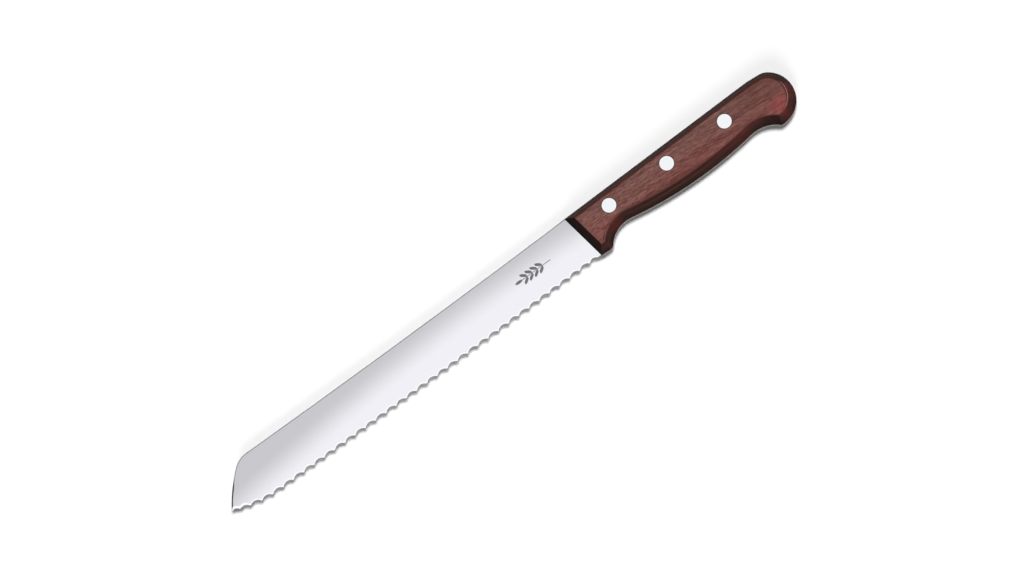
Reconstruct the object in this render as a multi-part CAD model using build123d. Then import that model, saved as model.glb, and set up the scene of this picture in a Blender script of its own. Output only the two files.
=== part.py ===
from build123d import *
from math import atan, cos, degrees, radians, sin, sqrt, tan
import os

# A riveted bread knife that lies on its right side. All sizes are in millimetres.
# While it is modelled, x runs from the blade's tip (-) to the butt (+), y from the cutting
# edge (-) to the spine (+), and z through the blade from its right side (-) to its left
# side (+). The point 0, 0 is where the spine enters the handle. At the end the knife is
# moved as a whole, so that its origin is under the middle of its outer box.

# Steel
STEEL_THICKNESS = 1.6
EDGE_THICKNESS = 0.5
BLADE_HEIGHT = 24.1
BLADE_TIP = (-206.6, -18.9)
SPINE_HOLLOW = (-100, -1.0)
SPINE_END = (-189.6, -0.6)
TIP_BULGE = (-199.7, -9.9)
TIP_CORNER_RADIUS = 12
EDGE_BELLY = (-95, -24.75)
EDGE_RISE = (-184, -24.35)
EASED_EDGE = 0.25
TOUCHING = 0.02
PLUNGE_RADIUS = 25
PLUNGE_START = 5.6

# Scalloped edge, ground from the right side only
PITCH = 5.93
TOOTH_FLAT = 0.16
HEEL_FLAT = 0.55
FULL_SCALLOPS = 34
TIP_TOOTH = 4.1
CUTTER_RADIUS = 10.7
CUTTER_ANGLE = 16
CUTTER_LENGTH = 16

# Wooden handle
FRONT_SLANT = 9.4
HANDLE_FRONT = 24.6
HANDLE_THICKNESS = 16
WALL_HEIGHT = 0.3
BEVEL_WIDTH = 3.45
ARRIS_RADIUS = 0.3
SHOULDER = (107, 1.74)
SHOULDER_RADIUS = 40
BUTT_CORNER = (115.2, 1.0)
BUTT_CORNER_RADIUS = 8
BUTT = (123.25, -11.5)
HOOK = (108.3, -24.95)
HOOK_RADIUS = 0.8
HOLLOW = (94, -20.1)
BELLY = (66, -22.2)
NECK = (26, -18.35)
CHIN = (10.6, -24.85)
CHIN_RADIUS = 3

# Two-part rivets, pressed together through wood and steel
RIVET_X = {"front": 20.6, "middle": 54.0, "rear": 87.4}
RIVET_Y = -8.7
HEAD_DIAMETER = 7.1
HEAD_THICKNESS = 1.8
HEAD_CHAMFER = 0.1
HEAD_CLEARANCE = 0.05
TUBE_DIAMETER = 5
PIN_DIAMETER = 3.6
END_GAP = 0.4

HALF_STEEL = STEEL_THICKNESS / 2
HALF_HANDLE = HANDLE_THICKNESS / 2
BEVEL_DEPTH = HALF_HANDLE - HALF_STEEL - WALL_HEIGHT
SLANT = tan(radians(FRONT_SLANT))
NOSE = (HANDLE_FRONT * SLANT, -HANDLE_FRONT)
HEEL = (BLADE_HEIGHT * SLANT, -BLADE_HEIGHT)
GRIND_ANGLE = degrees(atan((STEEL_THICKNESS - EDGE_THICKNESS) / 2 / BLADE_HEIGHT))


def round_corner(face, corner, radius):
    """The face with the corner nearest to a point rounded in its own plane."""
    vertex = face.vertices().sort_by_distance(Vector(*corner))[0]
    return fillet(vertex, radius)


def handle_outline():
    """The outline that the tang and both scales share, as a face in the blade's plane."""
    belly = ThreePointArc(NECK, BELLY, HOLLOW)
    outline = make_face([
        Line((0, 0), NOSE),
        Line(NOSE, CHIN),
        TangentArc(NECK, CHIN, tangent=-(belly % 0)),
        belly,
        TangentArc(HOLLOW, HOOK, tangent=belly % 1),
        ThreePointArc(HOOK, BUTT, BUTT_CORNER),
        Line(BUTT_CORNER, SHOULDER),
        Line(SHOULDER, (0, 0)),
    ])
    outline = round_corner(outline, SHOULDER, SHOULDER_RADIUS)
    outline = round_corner(outline, BUTT_CORNER, BUTT_CORNER_RADIUS)
    outline = round_corner(outline, CHIN, CHIN_RADIUS)
    return round_corner(outline, HOOK, HOOK_RADIUS)


def at_rivets(shape):
    """The shape repeated on each rivet's axis."""
    return [Pos(x, RIVET_Y, 0) * shape for x in RIVET_X.values()]


def edge_line():
    """The line along the tips of the teeth, from the heel to the point of the blade."""
    straight = ThreePointArc(HEEL, EDGE_BELLY, EDGE_RISE)
    upsweep = TangentArc(EDGE_RISE, BLADE_TIP, tangent=straight % 1)
    return Wire([straight, upsweep])


def blade_back():
    """The line along the spine, from the handle to the point of the blade."""
    spine = ThreePointArc((0, 0), SPINE_HOLLOW, SPINE_END)
    front = ThreePointArc(SPINE_END, TIP_BULGE, BLADE_TIP)
    return [spine, front]


def grind():
    """What the wheel takes off the left side: a flat taper that runs out before the handle."""
    reach = -BLADE_TIP[0] + 20
    flat = Pos(-PLUNGE_START - reach / 2, 0, 1) * Box(reach, 4 * BLADE_HEIGHT, 2)
    run_out = Pos(-PLUNGE_START, 0, PLUNGE_RADIUS) * Rot(X=90) * Cylinder(PLUNGE_RADIUS, 4 * BLADE_HEIGHT)
    return Pos(0, 0, HALF_STEEL) * Rot(X=GRIND_ANGLE) * Rot(Z=FRONT_SLANT) * (flat + run_out)


def scallop(start, end):
    """Cylinder that grinds one scallop between two tooth tips, slanting up from the right side."""
    along = (end - start).normalized()
    inward = Vector(along.Y, -along.X, 0)
    lean = radians(CUTTER_ANGLE)
    half = ((end - start).length - TOOTH_FLAT) / 2
    depth = (CUTTER_RADIUS - sqrt(CUTTER_RADIUS**2 - half**2)) / sin(lean)
    top = (start + end) / 2 + inward * depth
    face_height = HALF_STEEL + top.Y * tan(radians(GRIND_ANGLE))
    into_steel = inward * cos(lean) - Vector(0, 0, sin(lean))
    to_axis = -inward * sin(lean) - Vector(0, 0, cos(lean))
    middle = top + Vector(0, 0, face_height) + to_axis * CUTTER_RADIUS
    return Plane(middle, z_dir=into_steel) * Cylinder(CUTTER_RADIUS, CUTTER_LENGTH)


def scallops():
    """All the scallops from heel to tip, with two shorter ones at the tip."""
    edge = edge_line()
    distances = [HEEL_FLAT + i * PITCH for i in range(FULL_SCALLOPS + 1)]
    distances += [edge.length - TIP_TOOTH, edge.length]
    teeth = [edge @ (distance / edge.length) for distance in distances]
    return [scallop(start, end) for start, end in zip(teeth, teeth[1:])]


def ease_back(plate, outline):
    """Round the corners along the ground part of the spine and along the tip's front edge."""
    arcs = outline.edges().filter_by(GeomType.CIRCLE)
    back = arcs.filter_by(lambda arc: (arc @ 0.5).Y > BLADE_TIP[1])

    def follows_back(edge):
        middle = edge @ 0.5
        return min(arc.distance_to(Vertex(middle.X, middle.Y, 0)) for arc in back) < TOUCHING

    return fillet(plate.edges().filter_by(GeomType.ELLIPSE).filter_by(follows_back), EASED_EDGE)


def blade():
    """Blade and full tang, one stamping."""
    outline = make_face(blade_back() + edge_line().edges() + [Line(HEEL, (0, 0))])
    outline = round_corner(outline, SPINE_END, TIP_CORNER_RADIUS)
    plate = extrude(outline, HALF_STEEL, both=True) - grind() - mirror(grind(), about=Plane.XY)
    plate = ease_back(plate, outline)
    for cutter in scallops():
        plate = plate - cutter
    tang = extrude(handle_outline(), HALF_STEEL, both=True)
    return plate + tang - at_rivets(Cylinder(TUBE_DIAMETER / 2, 2 * STEEL_THICKNESS))


def left_scale():
    """Handle half: a short wall beside the tang, then one wide bevel all round."""
    outline = Pos(0, 0, HALF_STEEL) * handle_outline()
    wall = extrude(outline, WALL_HEIGHT)
    top_of_wall = Pos(0, 0, WALL_HEIGHT) * outline
    bevel = extrude(top_of_wall, BEVEL_DEPTH, taper=degrees(atan(BEVEL_WIDTH / BEVEL_DEPTH)))
    body = wall + bevel
    body = fillet(body.faces().sort_by(Axis.Z)[-1].edges(), ARRIS_RADIUS)
    hole = Cylinder(TUBE_DIAMETER / 2, 2 * HANDLE_THICKNESS)
    seat_radius = HEAD_DIAMETER / 2 + HEAD_CLEARANCE
    seat_floor = Pos(0, 0, HALF_HANDLE - HEAD_THICKNESS)
    seat = seat_floor * Cylinder(seat_radius, HANDLE_THICKNESS, align=(Align.CENTER, Align.CENTER, Align.MIN))
    return body - at_rivets(hole + seat)


def head():
    """Rivet head with its outer face flush with the left scale."""
    disc = Pos(0, 0, HALF_HANDLE - HEAD_THICKNESS / 2) * Cylinder(HEAD_DIAMETER / 2, HEAD_THICKNESS)
    return chamfer(disc.edges().sort_by(Axis.Z)[-1], HEAD_CHAMFER)


def shank(diameter, low, high):
    """Round bar on the rivet's axis between two heights."""
    return Pos(0, 0, (low + high) / 2) * Cylinder(diameter / 2, high - low)


def rivet_post():
    """Male half: a head on the left side with a solid pin."""
    under_head = HALF_HANDLE - HEAD_THICKNESS
    return head() + shank(PIN_DIAMETER, END_GAP - under_head, under_head)


def rivet_socket():
    """Female half: a head on the right side with a tube that holds the pin."""
    under_head = HALF_HANDLE - HEAD_THICKNESS
    tube = shank(TUBE_DIAMETER, -under_head, under_head - END_GAP)
    bore = shank(PIN_DIAMETER, -under_head, under_head)
    return mirror(head(), about=Plane.XY) + (tube - bore)


def pieces():
    """Every piece of the knife by its name, in its own place."""
    left = left_scale()
    named = {
        "blade": blade(),
        "left_scale": left,
        "right_scale": mirror(left, about=Plane.XY),
    }
    for end, x in RIVET_X.items():
        named["rivet_post_" + end] = Pos(x, RIVET_Y, 0) * rivet_post()
        named["rivet_socket_" + end] = Pos(x, RIVET_Y, 0) * rivet_socket()
    return named


def main():
    os.makedirs("parts", exist_ok=True)
    knife = pieces()
    box = Compound(children=[piece.solid() for piece in knife.values()]).bounding_box()
    to_origin = Pos(-box.center().X, -box.center().Y, -box.min.Z)
    for name, piece in knife.items():
        solid = to_origin * piece.solid()
        solid.label = name
        export_step(solid, "parts/" + name + ".step")
    print("moved by", to_origin.position, "size", box.size)


main()
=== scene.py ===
import math

import bpy
from mathutils import Matrix, Vector


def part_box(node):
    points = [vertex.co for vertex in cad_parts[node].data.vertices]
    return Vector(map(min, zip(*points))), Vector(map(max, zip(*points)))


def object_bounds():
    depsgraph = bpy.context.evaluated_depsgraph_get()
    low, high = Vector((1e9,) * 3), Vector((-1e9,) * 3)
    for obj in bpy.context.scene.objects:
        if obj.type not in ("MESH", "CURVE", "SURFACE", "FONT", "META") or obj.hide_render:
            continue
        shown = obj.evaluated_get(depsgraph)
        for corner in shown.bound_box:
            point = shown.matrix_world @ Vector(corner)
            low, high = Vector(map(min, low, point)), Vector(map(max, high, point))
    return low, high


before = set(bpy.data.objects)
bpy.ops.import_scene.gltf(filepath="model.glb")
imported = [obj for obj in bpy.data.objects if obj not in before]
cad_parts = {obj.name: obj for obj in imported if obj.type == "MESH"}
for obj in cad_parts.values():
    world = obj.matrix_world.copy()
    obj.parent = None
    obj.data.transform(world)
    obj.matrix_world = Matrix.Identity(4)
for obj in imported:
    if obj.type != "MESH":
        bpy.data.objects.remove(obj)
CAD_LOW, CAD_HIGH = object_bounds()
MIDDLE = (CAD_LOW + CAD_HIGH) / 2
HANDLE_LOW, HANDLE_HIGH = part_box("left_scale")
RIVETS = ("front", "middle", "rear")


# Units

def rgb(red, green, blue):
    """A colour as the shader wants it, from sRGB numbers of 0 to 255."""
    channels = []
    for value in (red, green, blue):
        part = value / 255
        channels.append(part / 12.92 if part <= 0.04045 else ((part + 0.055) / 1.055) ** 2.4)
    return (*channels, 1)


def radians(*degrees):
    return tuple(math.radians(angle) for angle in degrees)


# Camera: a long lens above the knife's left side, leaning towards the belly of the handle
LENS = 240
SENSOR_WIDTH = 36
VIEW_WIDTH = 0.4803
VIEW_DISTANCE = VIEW_WIDTH * LENS / SENSOR_WIDTH
VIEW_ROLL = math.radians(36.08)
VIEW_LEAN = math.radians(12.07)
AIM = MIDDLE + Vector((0.0027, 0, 0))
CLIP_SPAN = 100

# Light: a key from above and towards the butt, a fill from the belly side, and a pale room that
# only reflections show
KEY = {"towards": (0.14, 0.0), "angle": 13, "strength": 3.17}
FILL = {"towards": (-0.5, -0.75), "angle": 20, "strength": 0.74}
SUN_DISTANCE = 2
CEILING = (1.01, 1.01, 1.01, 1)
HORIZON = (0.70, 0.71, 0.73, 1)
CEILING_STARTS = 0.9
FLOOR_SIZE = 60
FLOOR_DROP = 0.00003
FLOOR_ALBEDO = 0.86

# Lengths are in metres. A noise is given by its cells per metre along x, y and z, stains, print and painted
# light and shade by their colour and the most of it that covers, and a shade or a roughness by its span and
# its base. Two limits say where something starts and where it is full, and four say where it fades and ends
# as well.

# Blade: fine lines ground across it, and faint clouds that push the painted sheen line about
BLADE_LINES = (3600, 50, 50)
BLADE_LINE_DEPTH = 0.000001
BLADE_LINE_SHADE = (0.04, 0.98)
BLADE_ROUGHNESS = (0.06, 0.15)
BLADE_CLOUDS = (22, 40, 40)
CLOUD_PUSH = 0.002
# The painted reflection: dull above the sheen line, bright below it
BLADE_DULL_REFLECTION = rgb(199, 199, 204)
BLADE_BRIGHT_REFLECTION = rgb(240, 239, 245)

# The line where the painted reflection turns from dull to bright: y = SHEEN_LIFT + SHEEN_SLOPE x +
# SHEEN_BEND x x
SHEEN_LIFT = 0.0034
SHEEN_SLOPE = -0.006
SHEEN_BEND = -0.44
SHEEN_WIDTH = 0.016

# Blade outline: painted shade as a dark line along spine and nose, a painted highlight as a white rim in
# the gullets. RIM_REACH says how far in each comes, at the edge and the spine, and NOSE_REACH how much
# further at the nose.
NOSE = (CAD_LOW.x + 0.010, CAD_LOW.x + 0.006)
RIM_REACH = (0.0005, 0.0009)
RIM_WIDENS = (-0.002, 0.002)
NOSE_REACH = 0.0008
PAINTED_SHADE_LINE = (rgb(26, 26, 29), 1)
PAINTED_HIGHLIGHT_RIM = (rgb(255, 255, 255), 1)
EASED_EDGE = (0.97, 0.88)

# How alike the true normal and the rounded one are where an outline starts and where it is full
OUTLINE_ALIKE = (0.998, 0.95)
NOSE_DARK_ALIKE = (0.9995, 0.985)
NOSE_WHITE_ALIKE = (0.94, 0.88)

# Tang: its edge between the scales is coloured dark
HEEL = (HANDLE_LOW.x - 0.0005, HANDLE_LOW.x + 0.0005)
TANG_EDGE_TILT = (0.7, 0.3)
TANG_EDGE = (rgb(64, 52, 46), 1)

# Etched ear of wheat on the left side: its foot, and its grains
EAR = {"foot": (0.0205, 0.0001), "pitch": 0.0029, "pairs": 4, "half_long": 0.0020, "half_wide": 0.00072,
       "spread": 0.00145, "lean": math.radians(36), "stalk": 0.0045, "stalk_edge": (0.00022, 0.00012)}
GRAIN_EDGE = (1.15, 0.85)
LEFT_SIDE = (0.5, 0.9)
ETCHED = (rgb(70, 70, 74), 0.85)

# Rivets: faint turning rings, fine scratches and an uneven polish
RING_PITCH = 0.00018
RING_RELIEF = 0.25
RIVET_SCRATCHES = (900, 5200, 900)
SCRATCH_RELIEF = 0.5
RIVET_DEPTH = 0.000003
RIVET_ROUGHNESS = (0.12, 0.16)
RIVET_POLISH = (300, 300, 300)
POLISH_SHADE = (0.05, 0.955)
RIVET_BRIGHT = rgb(243, 245, 249)
# A grey rim at the head's edge: painted shade of the gap round it
RIVET_RIM = (rgb(150, 148, 150), 0.35)
RIM_STARTS = 0.97

# Wood grain: it runs a little off the handle's line, and differs from one side to the other
GRAIN_TURN = math.radians(5)
SIDE_SHIFT = Vector((0.37, 0.11, 0.05))
WANDER = (16, 40, 40)
WANDER_SPAN = 0.004
BANDS = (22, 420, 420)
FIBRES = (300, 1900, 1900)
FLECKS = (420, 1500, 1500)
PATCHES = (30, 70, 70)
PORES = (0.54, 0.68)
PORES_AT_BUTT = 0.30
PORES_AT_FRONT = 0.80
FIBRE_RELIEF = 0.5
PORE_RELIEF = 0.6
GRAIN_DEPTH = 0.00006
GRAIN_STRENGTH = 0.6
WOOD_ROUGHNESS = (0.25, 0.42)
WOOD_SPECULAR = 0.02

# Wood colours on the flat face, by tone, which bands and fibres share
BAND_SHARE = 0.45
BROWNS = [(0.36, rgb(84, 57, 52)), (0.50, rgb(108, 77, 71)), (0.64, rgb(130, 99, 92))]
REDS = [(0.36, rgb(92, 44, 41)), (0.50, rgb(118, 65, 62)), (0.64, rgb(142, 88, 84))]
HOOK_REDS = [(0.36, rgb(112, 50, 50)), (0.50, rgb(140, 68, 68)), (0.64, rgb(158, 88, 86))]
PORE = (rgb(56, 32, 29), 0.75)
BUTT_SHADE = (rgb(70, 38, 33), 0.25)
# Painted shade of the gap round each rivet
RIVET_GAP_SHADE = (rgb(30, 14, 14), 0.75)

# Where on the face: redder towards the belly, reddest by the hook's corner, darker by the shoulder
LOWER_HALF = (0.008, -0.010)
LOWER_REDNESS = 0.5
PATCH_REDNESS = 0.4
HOOK = (HANDLE_HIGH.x - 0.0100, HANDLE_LOW.y + 0.0055)
HOOK_PATCH = (0.0085, 0.001)
HOOK_REDNESS = 0.6
BUTT_END = (HANDLE_HIGH.x - 0.045, HANDLE_HIGH.x - 0.020)
UPPER_HALF = (-0.004, 0.004)
# Where the painted shade round a rivet fades out and where it is full, outside the head
GAP_SHADE_RING = (0.00040, 0.00005)

# Bevel colours by height, from the tang to the arris, darker towards the tang, which is painted shade.
# Along the belly a pale line, a painted highlight, and a dark red one are painted on, and fade out before
# the hook.
BEVEL_WITH_LINES = [(0.05, rgb(22, 19, 14)), (0.40, rgb(38, 25, 19)), (0.56, rgb(50, 33, 28)),
                 (0.63, rgb(62, 41, 36)), (0.72, rgb(50, 24, 20)), (0.81, rgb(54, 25, 21)),
                 (0.91, rgb(68, 40, 35)), (1.0, rgb(82, 52, 46))]
BEVEL_PLAIN = [(0.05, rgb(30, 22, 18)), (0.35, rgb(40, 26, 22)), (0.60, rgb(56, 32, 29)),
               (0.85, rgb(62, 31, 28)), (1.0, rgb(78, 46, 42))]
# Painted light: redder and lighter where a bevel faces the butt. Painted shade: darker towards the spine
BEVEL_BUTT = [(0.05, rgb(58, 30, 28)), (0.60, rgb(74, 31, 27)), (1.0, rgb(88, 42, 38))]
BEVEL_SPINE = [(0.05, rgb(30, 20, 14)), (0.60, rgb(42, 20, 15)), (1.0, rgb(52, 18, 14))]
BEVEL_LINES_END = (HANDLE_HIGH.x - 0.062, HANDLE_HIGH.x - 0.045)
# Painted shade by the shoulder and in the hook's hollow, and at the front, where the end grain is also
# darker
SHOULDER_SHADE = (rgb(16, 14, 11), 0.35)
HOOK_SHADE = (rgb(14, 9, 9), 0.55)
END_GRAIN_AND_SHADE = (rgb(12, 8, 7), 0.75)
BEVEL_GRAIN = 0.06
BAND_SHADE = (0.9, 0.55)

# Which way a bevel faces: limits on its normal, from none of a colour to all of it
TO_BUTT = {"x": (-0.02, 0.22), "y": (0.15, -0.05)}
TO_HOOK_END = {"x": (0.30, 0.60), "y": (-0.35, -0.60)}
TO_SHOULDER = {"x": (0.50, 0.80), "y": (0.08, 0.25)}
TO_SPINE = (0.05, 0.30)
TO_HOLLOW = (-0.12, -0.35)
TO_FRONT = (-0.4, -0.8)
HOOK_END = (HANDLE_HIGH.x - 0.026, HANDLE_HIGH.x - 0.018)

# Arrises: how far round one the colours are painted, how steep the bevels are, and bands across it by
# turn, which is 0 on the face, 0.5 at the arris and 1 on the bevel. The pale and pinkish lines are painted
# highlights.
ARRIS_REACH = 0.0018
CLEAR_STARTS = 0.8
BEVEL_SAMPLES = 16
BEVEL_SLOPE = math.radians(65)
FACE_ENDS = (0.38, 0.48)
RED_LINE = (0.03, 0.12, 0.36, 0.50)
PALE_HIGHLIGHT_LINE = (0.40, 0.50, 0.62, 0.80)
BUTT_HIGHLIGHT_LINE = (0.38, 0.45, 0.52, 0.60)
ARRIS_RED = (rgb(52, 21, 17), 0.85)
ARRIS_PALE_HIGHLIGHT = (rgb(100, 68, 62), 0.8)
ARRIS_BUTT_HIGHLIGHT = (rgb(190, 146, 143), 0.9)

# The way an outline or arris faces: 0 to the butt, 90 degrees to the spine, -90 to the edge or belly,
# 180 to the tip
GULLETS = radians(-155, -145, -35, -25)
NOT_FRONT = radians(150, 120)
NOT_BELLY = radians(-60, -30)
BELLY_RED = 0.3
BELLY = radians(-20, -60)
BUTT = radians(-75, -45, 5, 22)
# Where along the handle the painted highlight on the butt's arris begins
BUTT_HIGHLIGHT_FROM = (MIDDLE.x, HANDLE_HIGH.x - 0.020)


# Node helpers

def feed(tree, socket, value):
    if isinstance(value, bpy.types.NodeSocket):
        tree.links.new(value, socket)
    else:
        socket.default_value = value


def maths(tree, operation, *values):
    node = tree.nodes.new("ShaderNodeMath")
    node.operation = operation
    for socket, value in zip(node.inputs, values):
        feed(tree, socket, value)
    return node.outputs[0]


def product(tree, first, *others):
    for other in others:
        first = maths(tree, "MULTIPLY", first, other)
    return first


def opposite(tree, mask):
    return maths(tree, "SUBTRACT", 1.0, mask)


def vector_maths(tree, operation, *values, out=0):
    node = tree.nodes.new("ShaderNodeVectorMath")
    node.operation = operation
    for socket, value in zip(node.inputs, values):
        feed(tree, socket, value)
    return node.outputs[out]


def between(tree, value, low, high, out_low=0.0, out_high=1.0):
    """Smooth step of value from low to high, which may run downwards."""
    node = tree.nodes.new("ShaderNodeMapRange")
    node.interpolation_type = "SMOOTHSTEP"
    for socket, number in zip(node.inputs, (value, low, high, out_low, out_high)):
        feed(tree, socket, number)
    return node.outputs[0]


def band(tree, value, start, full, fade, end):
    """1 from full to fade, falling to 0 at start and at end."""
    return product(tree, between(tree, value, start, full), between(tree, value, end, fade))


def place(tree):
    """The point's place in the knife's own frame."""
    return tree.nodes.new("ShaderNodeTexCoord").outputs["Object"]


def true_normal(tree):
    return tree.nodes.new("ShaderNodeNewGeometry").outputs["Normal"]


def rounded_normal(tree, radius):
    """The normal as it would be with every edge rounded to radius."""
    rounded = tree.nodes.new("ShaderNodeBevel")
    rounded.samples = BEVEL_SAMPLES
    feed(tree, rounded.inputs["Radius"], radius)
    return rounded.outputs[0]


def axes(tree, vector):
    node = tree.nodes.new("ShaderNodeSeparateXYZ")
    feed(tree, node.inputs[0], vector)
    return node.outputs


def away_from(tree, here, centre):
    """How far a point is from the line that stands on the blade at centre."""
    flat = vector_maths(tree, "MULTIPLY", here, (1, 1, 0))
    return vector_maths(tree, "DISTANCE", flat, (centre[0], centre[1], 0), out=1)


def noise(tree, where, cells, detail, roughness=0.5):
    node = tree.nodes.new("ShaderNodeTexNoise")
    feed(tree, node.inputs["Vector"], vector_maths(tree, "MULTIPLY", where, cells))
    node.inputs["Scale"].default_value = 1
    node.inputs["Detail"].default_value = detail
    node.inputs["Roughness"].default_value = roughness
    return node.outputs[0]


def mix(tree, share, first, second, blend="MIX"):
    node = tree.nodes.new("ShaderNodeMix")
    node.data_type = "RGBA"
    node.blend_type = blend
    feed(tree, node.inputs[0], share)
    feed(tree, node.inputs[6], first)
    feed(tree, node.inputs[7], second)
    return node.outputs[2]


def stain_or_painted_light(tree, colour, mask, overlay):
    """The colour with another laid over it where the mask says: stains and print, or painted light and
    shade.
    """
    shade, most = overlay
    return mix(tree, product(tree, mask, most), colour, shade)


def shaded(tree, colour, value, shade):
    """The colour made lighter or darker by a value."""
    return mix(tree, 1.0, colour, maths(tree, "MULTIPLY_ADD", value, *shade), "MULTIPLY")


def ramp(tree, value, stops):
    node = tree.nodes.new("ShaderNodeValToRGB")
    feed(tree, node.inputs[0], value)
    elements = node.color_ramp.elements
    while len(elements) < len(stops):
        elements.new(0.5)
    for element, (position, colour) in zip(elements, stops):
        element.position = position
        element.color = colour
    return node.outputs[0]


def bump(tree, height, depth, strength=1.0):
    """A normal for a relief, where a height of 1 stands depth above a height of 0."""
    node = tree.nodes.new("ShaderNodeBump")
    node.inputs["Strength"].default_value = strength
    node.inputs["Distance"].default_value = depth
    feed(tree, node.inputs["Height"], height)
    return node.outputs[0]


def new_material(name):
    made = bpy.data.materials.new(name)
    made.use_nodes = True
    return made, made.node_tree, made.node_tree.nodes["Principled BSDF"]


def finish(tree, shader, colour, roughness, normal):
    """The shader with its colour and normal, and its roughness from a value and a span and a base."""
    value, span_and_base = roughness
    tree.links.new(colour, shader.inputs["Base Color"])
    tree.links.new(maths(tree, "MULTIPLY_ADD", value, *span_and_base), shader.inputs["Roughness"])
    tree.links.new(normal, shader.inputs["Normal"])


# Handle wood

def rivet_axis(which):
    low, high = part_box(f"rivet_post_{which}")
    return (low + high) / 2, (high.x - low.x) / 2


def wood_grain(tree, here, side):
    """Noise drawn out along the handle: bands, fibres, flecks and wide patches."""
    turned = tree.nodes.new("ShaderNodeVectorRotate")
    feed(tree, turned.inputs["Vector"], here)
    turned.inputs["Angle"].default_value = GRAIN_TURN
    along = vector_maths(tree, "ADD", turned.outputs[0], SIDE_SHIFT * side)
    wander = noise(tree, along, WANDER, detail=2)
    bent = vector_maths(tree, "MULTIPLY_ADD", wander, (0, WANDER_SPAN, WANDER_SPAN), along)
    bands = noise(tree, bent, BANDS, detail=4, roughness=0.65)
    fibres = noise(tree, bent, FIBRES, detail=3, roughness=0.6)
    flecks = noise(tree, bent, FLECKS, detail=2)
    patches = noise(tree, along, PATCHES, detail=2)
    return bands, fibres, flecks, patches


def face_colour(tree, here, tone, pores, patches):
    """Brown wood with dark pores, redder towards the belly and by the hook, darker by the shoulder."""
    x, y, _ = axes(tree, here)
    redness = maths(tree, "MULTIPLY_ADD", between(tree, y, *LOWER_HALF), LOWER_REDNESS,
                    product(tree, patches, PATCH_REDNESS))
    colour = mix(tree, redness, ramp(tree, tone, BROWNS), ramp(tree, tone, REDS))
    colour = stain_or_painted_light(tree, colour, pores, PORE)
    by_hook = between(tree, away_from(tree, here, HOOK), *HOOK_PATCH, 0, HOOK_REDNESS)
    colour = mix(tree, by_hook, colour, ramp(tree, tone, HOOK_REDS))
    by_shoulder = product(tree, between(tree, x, *BUTT_END), between(tree, y, *UPPER_HALF))
    return stain_or_painted_light(tree, colour, by_shoulder, BUTT_SHADE)


def rivet_gap_shade_rings(tree, here, colour):
    """Dark rings round the rivets, painted shade of the gap round each head, and a mask that is 0 near
    them, where no arris is to be painted.
    """
    clear = 1.0
    near, at = GAP_SHADE_RING
    for which in RIVETS:
        axis, radius = rivet_axis(which)
        away = away_from(tree, here, axis)
        ring = between(tree, away, radius + near, radius + at)
        colour = stain_or_painted_light(tree, colour, ring, RIVET_GAP_SHADE)
        apart = between(tree, away, radius + CLEAR_STARTS * ARRIS_REACH, radius + ARRIS_REACH)
        clear = product(tree, clear, apart)
    return colour, clear


def facing(tree, limits):
    """How fully the surface faces a way, by limits on its normal's x and y."""
    nx, ny, _ = axes(tree, true_normal(tree))
    return product(tree, between(tree, nx, *limits["x"]), between(tree, ny, *limits["y"]))


def bevel_colour(tree, here, face, bands):
    """Bevels, with painted light and shade: nearly black by the tang and at the front, where end grain adds
    to the painted shade, redder where they face the butt, which is painted light, and darker towards the
    spine, the shoulder and the hook's hollow.
    """
    x, _, z = axes(tree, here)
    nx, ny, _ = axes(tree, true_normal(tree))
    from_middle = maths(tree, "ABSOLUTE", maths(tree, "SUBTRACT", z, MIDDLE.z))
    height = maths(tree, "DIVIDE", from_middle, MIDDLE.z)

    plain = between(tree, x, *BEVEL_LINES_END)
    colour = mix(tree, plain, ramp(tree, height, BEVEL_WITH_LINES), ramp(tree, height, BEVEL_PLAIN))
    butt = product(tree, facing(tree, TO_BUTT), opposite(tree, facing(tree, TO_HOOK_END)))
    colour = mix(tree, butt, colour, ramp(tree, height, BEVEL_BUTT))
    colour = mix(tree, between(tree, ny, *TO_SPINE), colour, ramp(tree, height, BEVEL_SPINE))
    colour = stain_or_painted_light(tree, colour, facing(tree, TO_SHOULDER), SHOULDER_SHADE)
    hollow = product(tree, between(tree, nx, *TO_HOLLOW), between(tree, x, *HOOK_END))
    colour = stain_or_painted_light(tree, colour, hollow, HOOK_SHADE)
    colour = shaded(tree, mix(tree, BEVEL_GRAIN, colour, face), bands, BAND_SHADE)
    return stain_or_painted_light(tree, colour, between(tree, nx, *TO_FRONT), END_GRAIN_AND_SHADE)


def arris_and_highlights(tree, here, face, bevel, clear):
    """Face and bevel, with a dark red line inside the arris, and painted highlights on the arris itself:
    pale along the belly, pinkish at the butt.
    """
    x, _, _ = axes(tree, here)
    rx, ry, rz = axes(tree, rounded_normal(tree, ARRIS_REACH))
    slope = maths(tree, "ARCCOSINE", maths(tree, "MINIMUM", maths(tree, "ABSOLUTE", rz), 1.0))
    turn = product(tree, maths(tree, "DIVIDE", slope, BEVEL_SLOPE), clear)
    way = maths(tree, "ARCTAN2", ry, rx)
    not_front = between(tree, maths(tree, "ABSOLUTE", way), *NOT_FRONT)

    less_at_belly = between(tree, way, *NOT_BELLY, BELLY_RED, 1)
    red = product(tree, band(tree, turn, *RED_LINE), not_front, less_at_belly)
    face = stain_or_painted_light(tree, face, red, ARRIS_RED)
    colour = mix(tree, between(tree, turn, *FACE_ENDS), face, bevel)
    pale_highlight = product(tree, band(tree, turn, *PALE_HIGHLIGHT_LINE), not_front, between(tree, way, *BELLY))
    colour = stain_or_painted_light(tree, colour, pale_highlight, ARRIS_PALE_HIGHLIGHT)
    at_butt = product(tree, band(tree, way, *BUTT), between(tree, x, *BUTT_HIGHLIGHT_FROM))
    return stain_or_painted_light(tree, colour, product(tree, band(tree, turn, *BUTT_HIGHLIGHT_LINE), at_butt), ARRIS_BUTT_HIGHLIGHT)


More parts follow.
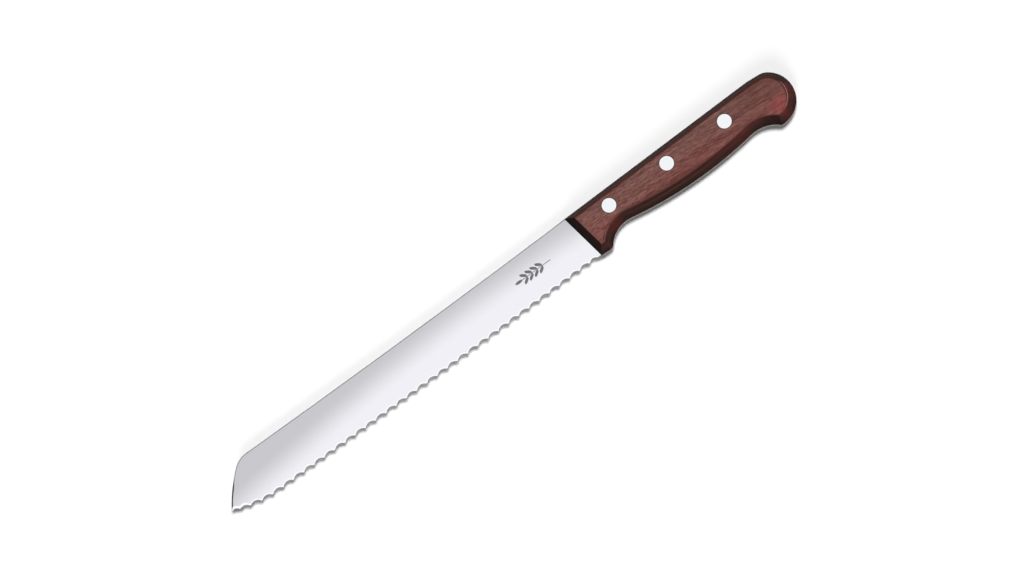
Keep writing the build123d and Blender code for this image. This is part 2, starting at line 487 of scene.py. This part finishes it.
def handle_wood(name, side):
    """Reddish brown resin-pressed wood: long grain, dark pores, bevels darkened with painted shade, painted
    highlights on the arrises.
    """
    made, tree, shader = new_material(name)
    here = place(tree)
    x, _, _ = axes(tree, here)
    bands, fibres, flecks, patches = wood_grain(tree, here, side)
    tone = maths(tree, "MULTIPLY_ADD", bands, BAND_SHARE, product(tree, fibres, 1 - BAND_SHARE))
    coarse = between(tree, x, HANDLE_HIGH.x, HANDLE_LOW.x, PORES_AT_BUTT, PORES_AT_FRONT)
    pores = product(tree, between(tree, flecks, *PORES), coarse)

    face = face_colour(tree, here, tone, pores, patches)
    face, clear = rivet_gap_shade_rings(tree, here, face)
    colour = arris_and_highlights(tree, here, face, bevel_colour(tree, here, face, bands), clear)
    relief = maths(tree, "SUBTRACT", product(tree, fibres, FIBRE_RELIEF), product(tree, pores, PORE_RELIEF))
    normal = bump(tree, relief, GRAIN_DEPTH, GRAIN_STRENGTH)
    finish(tree, shader, colour, (fibres, WOOD_ROUGHNESS), normal)
    shader.inputs["Specular IOR Level"].default_value = WOOD_SPECULAR
    return made


# Blade and rivet steel

def satin_and_painted_sheen(tree, here, lines):
    """Satin lines on steel with a painted reflection: duller above the sheen line and bright below it."""
    x, y, _ = axes(tree, here)
    clouds = noise(tree, here, BLADE_CLOUDS, detail=3)
    bend = maths(tree, "MULTIPLY_ADD", x, SHEEN_BEND, SHEEN_SLOPE)
    sheen_line = maths(tree, "MULTIPLY_ADD", x, bend, SHEEN_LIFT)
    level = maths(tree, "MULTIPLY_ADD", clouds, CLOUD_PUSH, maths(tree, "SUBTRACT", y, sheen_line))
    middle = CLOUD_PUSH / 2
    bright = between(tree, level, middle + SHEEN_WIDTH / 2, middle - SHEEN_WIDTH / 2)
    return shaded(tree, mix(tree, bright, BLADE_DULL_REFLECTION, BLADE_BRIGHT_REFLECTION), lines, BLADE_LINE_SHADE)


def outline_mask(tree, rounded, nose, at_nose):
    """0 on open ground, rising to 1 at a sharp or eased edge, with limits of its own at the nose."""
    alike = vector_maths(tree, "DOT_PRODUCT", rounded, true_normal(tree), out=1)
    limits = [maths(tree, "MULTIPLY_ADD", nose, there - elsewhere, elsewhere)
              for elsewhere, there in zip(OUTLINE_ALIKE, at_nose)]
    _, _, nz = axes(tree, true_normal(tree))
    eased = between(tree, maths(tree, "ABSOLUTE", nz), *EASED_EDGE)
    return maths(tree, "MAXIMUM", between(tree, alike, *limits), eased)


def outlined(tree, here, colour):
    """Painted shade as a dark line along the spine and the nose, and a painted highlight as a white rim in
    the gullets.
    """
    x, y, _ = axes(tree, here)
    nose = between(tree, x, *NOSE)
    reach = maths(tree, "MULTIPLY_ADD", nose, NOSE_REACH, between(tree, y, *RIM_WIDENS, *RIM_REACH))
    rounded = rounded_normal(tree, reach)
    rx, ry, _ = axes(tree, rounded)
    gullets = band(tree, maths(tree, "ARCTAN2", ry, rx), *GULLETS)
    # Painted shade along spine and nose, a painted highlight in the gullets
    dark = product(tree, outline_mask(tree, rounded, nose, NOSE_DARK_ALIKE), opposite(tree, gullets))
    white = product(tree, outline_mask(tree, rounded, nose, NOSE_WHITE_ALIKE), gullets)
    return stain_or_painted_light(tree, stain_or_painted_light(tree, colour, dark, PAINTED_SHADE_LINE), white, PAINTED_HIGHLIGHT_RIM)


def grain_of_wheat(tree, along, across, lean):
    """A mask of one long oval grain, centred where along and across are 0."""
    cosine = math.cos(lean)
    sine = math.sin(lean)
    far = maths(tree, "MULTIPLY_ADD", along, cosine, product(tree, across, sine))
    wide = maths(tree, "MULTIPLY_ADD", across, cosine, product(tree, along, -sine))
    far_share = maths(tree, "DIVIDE", far, EAR["half_long"])
    wide_share = maths(tree, "DIVIDE", wide, EAR["half_wide"])
    reach = maths(tree, "MULTIPLY_ADD", far_share, far_share, maths(tree, "POWER", wide_share, 2))
    return between(tree, reach, *GRAIN_EDGE)


def wheat_ear(tree, here):
    """A mask of an ear of wheat lying along the blade: paired grains, one at the top, and a stalk."""
    x, y, _ = axes(tree, here)
    foot_x, foot_y = EAR["foot"]
    up = maths(tree, "SUBTRACT", foot_x, x)
    aside = maths(tree, "ABSOLUTE", maths(tree, "SUBTRACT", y, foot_y))
    pitch = EAR["pitch"]
    ear_long = EAR["pairs"] * pitch
    below_top = maths(tree, "LESS_THAN", up, ear_long)

    cell = maths(tree, "SUBTRACT", maths(tree, "FLOORED_MODULO", up, pitch), pitch / 2)
    leaning = grain_of_wheat(tree, cell, maths(tree, "SUBTRACT", aside, EAR["spread"]), EAR["lean"])
    pairs = product(tree, leaning, maths(tree, "GREATER_THAN", up, 0.0), below_top)
    top = grain_of_wheat(tree, maths(tree, "SUBTRACT", up, ear_long + EAR["half_long"]), aside, 0)
    above_stalk_end = maths(tree, "GREATER_THAN", up, -EAR["stalk"])
    stalk = product(tree, between(tree, aside, *EAR["stalk_edge"]), above_stalk_end, below_top)
    return maths(tree, "MAXIMUM", maths(tree, "MAXIMUM", pairs, top), stalk)


def blade_steel():
    """Satin stainless steel: fine lines ground across the blade, a painted sheen, painted shade and
    highlights along the outline, an etched mark, a dark tang edge.
    """
    made, tree, shader = new_material("satin_blade_steel")
    here = place(tree)
    x, _, _ = axes(tree, here)
    _, _, nz = axes(tree, true_normal(tree))
    lines = noise(tree, here, BLADE_LINES, detail=3, roughness=0.6)

    colour = outlined(tree, here, satin_and_painted_sheen(tree, here, lines))
    etched = product(tree, wheat_ear(tree, here), between(tree, nz, *LEFT_SIDE))
    colour = stain_or_painted_light(tree, colour, etched, ETCHED)
    on_edge = between(tree, maths(tree, "ABSOLUTE", nz), *TANG_EDGE_TILT)
    colour = stain_or_painted_light(tree, colour, product(tree, between(tree, x, *HEEL), on_edge), TANG_EDGE)
    finish(tree, shader, colour, (lines, BLADE_ROUGHNESS), bump(tree, lines, BLADE_LINE_DEPTH))
    shader.inputs["Metallic"].default_value = 1
    return made


def rivet_steel(which):
    """Bright flush rivet head: faint turning rings and a few fine scratches."""
    made, tree, shader = new_material(f"bright_rivet_{which}")
    here = place(tree)
    axis, radius = rivet_axis(which)
    away = away_from(tree, here, axis)
    rings = maths(tree, "SINE", product(tree, away, 2 * math.pi / RING_PITCH))
    scratches = noise(tree, here, RIVET_SCRATCHES, detail=3, roughness=0.6)
    polish = noise(tree, here, RIVET_POLISH, detail=2)

    # The rim is painted shade of the gap round the head
    rim = between(tree, away, radius * RIM_STARTS, radius)
    colour = stain_or_painted_light(tree, shaded(tree, RIVET_BRIGHT, polish, POLISH_SHADE), rim, RIVET_RIM)
    relief = maths(tree, "MULTIPLY_ADD", rings, RING_RELIEF, product(tree, scratches, SCRATCH_RELIEF))
    finish(tree, shader, colour, (scratches, RIVET_ROUGHNESS), bump(tree, relief, RIVET_DEPTH))
    shader.inputs["Metallic"].default_value = 1
    return made


def finish_nodes():
    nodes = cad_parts
    nodes["blade"].material_slots[0].material = blade_steel()
    nodes["left_scale"].material_slots[0].material = handle_wood("handle_wood_left", 1)
    nodes["right_scale"].material_slots[0].material = handle_wood("handle_wood_right", 2)
    for which in RIVETS:
        steel = rivet_steel(which)
        nodes[f"rivet_post_{which}"].material_slots[0].material = steel
        nodes[f"rivet_socket_{which}"].material_slots[0].material = steel


# Studio

def link(name, data):
    made = bpy.data.objects.new(name, data)
    bpy.context.scene.collection.objects.link(made)
    return made


def floor_white():
    made, _, shader = new_material("studio_floor")
    shader.inputs["Base Color"].default_value = (FLOOR_ALBEDO, FLOOR_ALBEDO, FLOOR_ALBEDO, 1)
    shader.inputs["Roughness"].default_value = 1
    shader.inputs["Specular IOR Level"].default_value = 0
    return made


def floor():
    """A plain floor, a hair below the knife so that their faces don't coincide."""
    half = FLOOR_SIZE / 2
    mesh = bpy.data.meshes.new("studio_floor")
    corners = [(-half, -half), (half, -half), (half, half), (-half, half)]
    mesh.from_pydata([(x, y, -FLOOR_DROP) for x, y in corners], [], [(0, 1, 2, 3)])
    mesh.materials.append(floor_white())
    link("studio_floor", mesh)


def look_from(direction, distance, target, up):
    """A matrix that stands at a distance along direction from target and looks at it."""
    back = Vector(direction).normalized()
    right = Vector(up).cross(back).normalized()
    turned = Matrix((right, back.cross(right), back)).transposed()
    return Matrix.Translation(target + back * distance) @ turned.to_4x4()


def camera():
    across = Vector((0, math.cos(VIEW_LEAN), math.sin(VIEW_LEAN)))
    back = Vector((0, -math.sin(VIEW_LEAN), math.cos(VIEW_LEAN)))
    up = Vector((math.sin(VIEW_ROLL), 0, 0)) + across * math.cos(VIEW_ROLL)
    data = bpy.data.cameras.new("camera")
    data.lens = LENS
    data.sensor_width = SENSOR_WIDTH
    data.clip_start = VIEW_DISTANCE / CLIP_SPAN
    data.clip_end = VIEW_DISTANCE * CLIP_SPAN
    made = link("camera", data)
    made.matrix_world = look_from(back, VIEW_DISTANCE, AIM, up)
    bpy.context.scene.camera = made


def sun(name, towards, angle, strength):
    """A distant light that the steel doesn't mirror."""
    data = bpy.data.lights.new(name, "SUN")
    data.angle = math.radians(angle)
    data.energy = strength
    made = link(name, data)
    made.matrix_world = look_from((*towards, 1), SUN_DISTANCE, MIDDLE, (0, 1, 0))
    made.visible_glossy = False


def room():
    """What the steel mirrors: a white ceiling, greyer towards the horizon. It gives no diffuse light."""
    world = bpy.data.worlds.new("room")
    world.use_nodes = True
    tree = world.node_tree
    _, _, direction_z = axes(tree, tree.nodes.new("ShaderNodeTexCoord").outputs["Generated"])
    rise = between(tree, direction_z, 0.0, CEILING_STARTS)
    tree.links.new(mix(tree, rise, HORIZON, CEILING), tree.nodes["Background"].inputs["Color"])
    world.cycles_visibility.diffuse = False
    bpy.context.scene.world = world


finish_nodes()
floor()
camera()
sun("key", **KEY)
sun("fill", **FILL)
room()
bpy.context.scene.view_settings.view_transform = "Standard"
